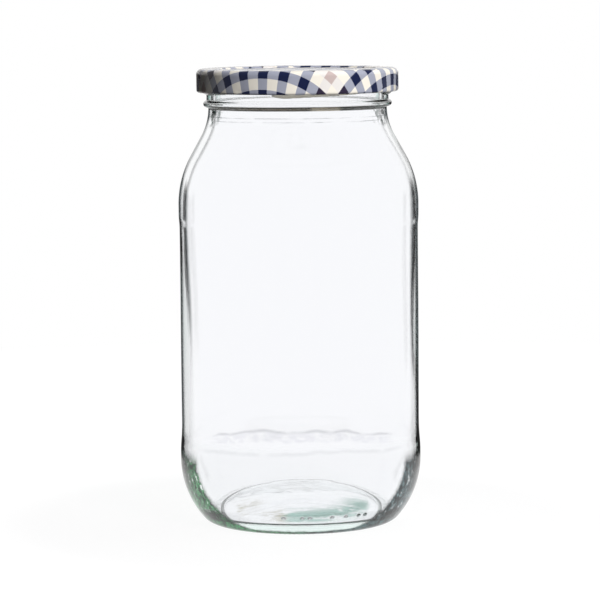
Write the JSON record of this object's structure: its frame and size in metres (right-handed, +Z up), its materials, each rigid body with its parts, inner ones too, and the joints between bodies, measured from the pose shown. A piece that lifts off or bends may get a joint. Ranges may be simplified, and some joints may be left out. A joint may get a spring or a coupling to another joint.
{
  "type": "preserving jar",
  "caption": "Round clear glass preserving jar with a rounded shoulder and heel, an inset label panel and a checked twist-off metal lid, empty.",
  "frame": {"origin": "middle of the base, on the plane the jar stands on", "axes": "+Z up along the jar's axis of revolution, -Y towards the front, +X to the right"},
  "size_m": [0.0962, 0.0962, 0.1807],
  "materials": {
    "glass": "clear blown glass with a faint green tint at its edges, glossy",
    "printed_tinplate": "tinplate printed with a navy, slate and cream check under gloss lacquer",
    "sealing_compound": "off-white sealing compound, satin"
  },
  "bodies": {
    "root": {"jar": "glass", "lid": "printed_tinplate", "seal": "sealing_compound"}
  },
  "joints": []
}
